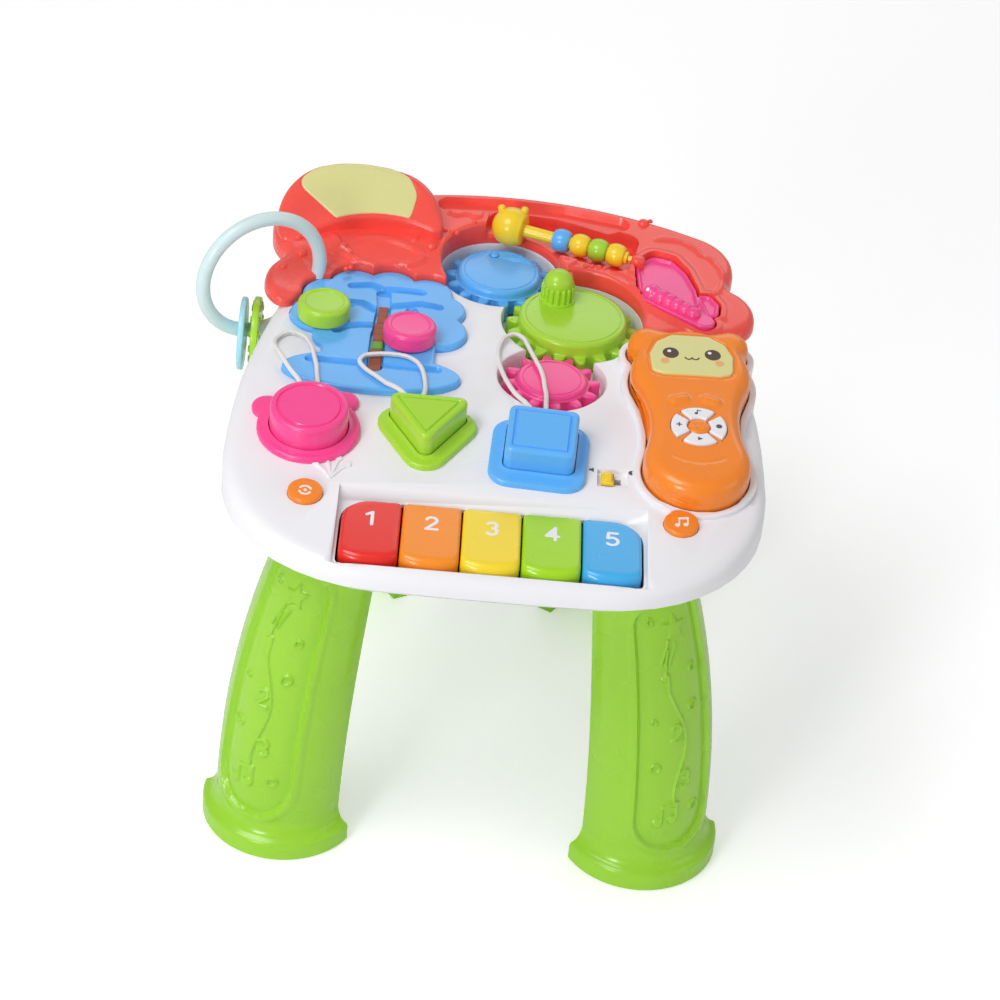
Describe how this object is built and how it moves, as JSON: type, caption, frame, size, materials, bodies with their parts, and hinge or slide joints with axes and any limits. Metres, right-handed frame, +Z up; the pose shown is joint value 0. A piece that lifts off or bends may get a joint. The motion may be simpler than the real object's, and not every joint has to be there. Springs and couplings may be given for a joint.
{
  "type": "musical activity table",
  "caption": "Low play table on four legs, with sprung keys, meshing gears, lift-out shape blocks on cords, a handset, sliding knobs and discs on an arched ring.",
  "frame": {"origin": "on the floor, in the middle between the left and the right legs", "axes": "+X to the right of a child who stands at the keys, +Y away from the child, +Z up"},
  "size_m": [0.3754, 0.3939, 0.3601],
  "materials": {
    "white_shell": "smooth moulded white with a soft sheen",
    "red_shell": "smooth moulded coral red with a soft sheen",
    "leg_green": "smooth moulded apple green, reliefs on the sunk panel",
    "part_green": "smooth moulded lime green",
    "pink": "smooth moulded pink",
    "blue": "smooth moulded sky blue",
    "yellow": "smooth moulded yellow",
    "orange": "smooth moulded orange",
    "cream_screen": "printed panel under a clear gloss skin",
    "brown": "matt moulded brown with grooves",
    "mint_ring": "milky pale tube",
    "sky_disc": "tinted pale blue, smooth",
    "key_red": "smooth moulded, printed figure",
    "key_orange": "smooth moulded, printed figure",
    "key_yellow": "smooth moulded, printed figure",
    "key_lime": "smooth moulded, printed figure",
    "key_blue": "smooth moulded, printed figure",
    "cord": "round woven cord, off-white",
    "rubber": "soft dark rubber",
    "steel": "plain bright steel",
    "board": "lacquered circuit board"
  },
  "bodies": {
    "table": {"deck_top": "white_shell", "base_tray": "white_shell", "rear_hood": "red_shell", "dome_cover": "red_shell", "hood_screen": "cream_screen", "tree_panel": "blue", "trunk_inlay": "brown", "socket_round": "pink", "socket_triangle": "part_green", "socket_square": "blue", "arch_ring": "mint_ring", "worm_head": "yellow", "worm_rod": "yellow", "key_rod": "steel", "contact_pads": "rubber", "leg_front_left": "leg_green", "leg_front_right": "leg_green", "leg_rear_left": "leg_green", "leg_rear_right": "leg_green", "battery_door": "white_shell", "battery_cells": "steel", "circuit_board": "board", "speaker": "rubber", "base_screws": "steel"},
    "gear_green": {"gear_green": "part_green", "gear_knob": "part_green"},
    "gear_blue": {"gear_blue": "blue"},
    "gear_pink": {"gear_pink": "pink"},
    "tree_knob_green": {"tree_knob_green": "part_green"},
    "tree_knob_pink": {"tree_knob_pink": "pink"},
    "bead_1": {"bead_1": "blue"},
    "bead_2": {"bead_2": "yellow"},
    "bead_3": {"bead_3": "part_green"},
    "bead_4": {"bead_4": "yellow"},
    "butterfly": {"butterfly": "pink"},
    "slide_switch": {"slide_switch": "yellow"},
    "block_round": {"block_round": "pink", "cord_round": "cord"},
    "block_triangle": {"block_triangle": "part_green", "cord_triangle": "cord"},
    "block_square": {"block_square": "blue", "cord_square": "cord"},
    "handset": {"handset_front": "orange", "handset_back": "orange", "handset_screen": "cream_screen"},
    "disc_blue": {"disc_blue": "sky_disc"},
    "disc_green": {"disc_green": "part_green"},
    "handset_button_up": {"handset_button_up": "white_shell"},
    "handset_button_left": {"handset_button_left": "white_shell"},
    "handset_button_right": {"handset_button_right": "white_shell"},
    "handset_button_down": {"handset_button_down": "white_shell"},
    "key_1": {"key_1": "key_red"},
    "key_2": {"key_2": "key_orange"},
    "key_3": {"key_3": "key_yellow"},
    "key_4": {"key_4": "key_lime"},
    "key_5": {"key_5": "key_blue"},
    "button_left": {"button_left": "orange"},
    "button_right": {"button_right": "orange"}
  },
  "joints": [
    {"name": "key_1_press", "type": "hinge", "parent": "table", "child": "key_1", "pos_m": [-0.0734, -0.10696, 0.27687], "axis": [1, 0, 0], "range_deg": [0, 3], "stiffness_Nm_per_rad": 1, "springref_deg": -2.86},
    {"name": "key_2_press", "type": "hinge", "parent": "table", "child": "key_2", "pos_m": [-0.0367, -0.10696, 0.27687], "axis": [1, 0, 0], "range_deg": [0, 3], "stiffness_Nm_per_rad": 1, "springref_deg": -2.86},
    {"name": "key_3_press", "type": "hinge", "parent": "table", "child": "key_3", "pos_m": [0, -0.10696, 0.27687], "axis": [1, 0, 0], "range_deg": [0, 3], "stiffness_Nm_per_rad": 1, "springref_deg": -2.86},
    {"name": "key_4_press", "type": "hinge", "parent": "table", "child": "key_4", "pos_m": [0.0367, -0.10696, 0.27687], "axis": [1, 0, 0], "range_deg": [0, 3], "stiffness_Nm_per_rad": 1, "springref_deg": -2.86},
    {"name": "key_5_press", "type": "hinge", "parent": "table", "child": "key_5", "pos_m": [0.0734, -0.10696, 0.27687], "axis": [1, 0, 0], "range_deg": [0, 3], "stiffness_Nm_per_rad": 1, "springref_deg": -2.86},
    {"name": "button_left_press", "type": "slide", "parent": "table", "child": "button_left", "axis": [0, 0.1097, -0.994], "range_m": [0, 0.0025], "stiffness_N_per_m": 300, "springref_m": -0.002},
    {"name": "button_right_press", "type": "slide", "parent": "table", "child": "button_right", "axis": [0, 0.1097, -0.994], "range_m": [0, 0.0025], "stiffness_N_per_m": 300, "springref_m": -0.002},
    {"name": "gear_green_turn", "type": "hinge", "parent": "table", "child": "gear_green", "pos_m": [0.045, 0.069, 0.291], "axis": [0, 0, 1], "continuous": true},
    {"name": "gear_blue_turn", "type": "hinge", "parent": "table", "child": "gear_blue", "pos_m": [-0.00496, 0.12202, 0.291], "axis": [0, 0, 1], "continuous": true},
    {"name": "gear_pink_turn", "type": "hinge", "parent": "table", "child": "gear_pink", "pos_m": [0.0327, 0.00197, 0.291], "axis": [0, 0, 1], "continuous": true},
    {"name": "tree_knob_green_slide", "type": "slide", "parent": "table", "child": "tree_knob_green", "axis": [0.6668, 0.7452, 0], "range_m": [0, 0.0254]},
    {"name": "tree_knob_pink_slide", "type": "slide", "parent": "table", "child": "tree_knob_pink", "axis": [0, 1, 0], "range_m": [0, 0.034]},
    {"name": "bead_1_slide", "type": "slide", "parent": "table", "child": "bead_1", "axis": [-0.9467, 0.3221, 0], "range_m": [0, 0.015]},
    {"name": "bead_2_slide", "type": "slide", "parent": "table", "child": "bead_2", "axis": [-0.9467, 0.3221, 0], "range_m": [0, 0.015]},
    {"name": "bead_3_slide", "type": "slide", "parent": "table", "child": "bead_3", "axis": [-0.9467, 0.3221, 0], "range_m": [0, 0.015]},
    {"name": "bead_4_slide", "type": "slide", "parent": "table", "child": "bead_4", "axis": [-0.9467, 0.3221, 0], "range_m": [0, 0.015]},
    {"name": "butterfly_press", "type": "slide", "parent": "table", "child": "butterfly", "axis": [0, 0, -1], "range_m": [0, 0.0025], "stiffness_N_per_m": 400, "springref_m": -0.002},
    {"name": "slide_switch_move", "type": "slide", "parent": "table", "child": "slide_switch", "axis": [1, 0, 0], "range_m": [0, 0.006]},
    {"name": "block_round_lift", "type": "slide", "parent": "table", "child": "block_round", "axis": [0, -0.1097, 0.994], "range_m": [0, 0.05]},
    {"name": "block_triangle_lift", "type": "slide", "parent": "table", "child": "block_triangle", "axis": [0, -0.1097, 0.994], "range_m": [0, 0.05]},
    {"name": "block_square_lift", "type": "slide", "parent": "table", "child": "block_square", "axis": [0, -0.1097, 0.994], "range_m": [0, 0.05]},
    {"name": "handset_lift", "type": "slide", "parent": "table", "child": "handset", "axis": [0, -0.1097, 0.994], "range_m": [0, 0.06]},
    {"name": "handset_button_up_press", "type": "slide", "parent": "handset", "child": "handset_button_up", "axis": [0, 0.1097, -0.994], "range_m": [0, 0.0012], "stiffness_N_per_m": 250, "springref_m": -0.001},
    {"name": "handset_button_left_press", "type": "slide", "parent": "handset", "child": "handset_button_left", "axis": [0, 0.1097, -0.994], "range_m": [0, 0.0012], "stiffness_N_per_m": 250, "springref_m": -0.001},
    {"name": "handset_button_right_press", "type": "slide", "parent": "handset", "child": "handset_button_right", "axis": [0, 0.1097, -0.994], "range_m": [0, 0.0012], "stiffness_N_per_m": 250, "springref_m": -0.001},
    {"name": "handset_button_down_press", "type": "slide", "parent": "handset", "child": "handset_button_down", "axis": [0, 0.1097, -0.994], "range_m": [0, 0.0012], "stiffness_N_per_m": 250, "springref_m": -0.001},
    {"name": "disc_blue_swing", "type": "hinge", "parent": "table", "child": "disc_blue", "pos_m": [-0.1615, 0.0736, 0.3134], "axis": [-0.5, 0.866, 0], "range_deg": [0, 140]},
    {"name": "disc_green_swing", "type": "hinge", "parent": "table", "child": "disc_green", "pos_m": [-0.1615, 0.0736, 0.3134], "axis": [-0.5, 0.866, 0], "range_deg": [0, 140]}
  ],
  "couplings": [
    {"joint": "gear_blue_turn", "follows": "gear_green_turn", "ratio": -1.2143},
    {"joint": "gear_pink_turn", "follows": "gear_green_turn", "ratio": -1.4167},
    {"joint": "disc_green_swing", "follows": "disc_blue_swing", "ratio": 1},
    {"joint": "bead_2_slide", "follows": "bead_1_slide", "ratio": 1},
    {"joint": "bead_3_slide", "follows": "bead_1_slide", "ratio": 1},
    {"joint": "bead_4_slide", "follows": "bead_1_slide", "ratio": 1}
  ]
}
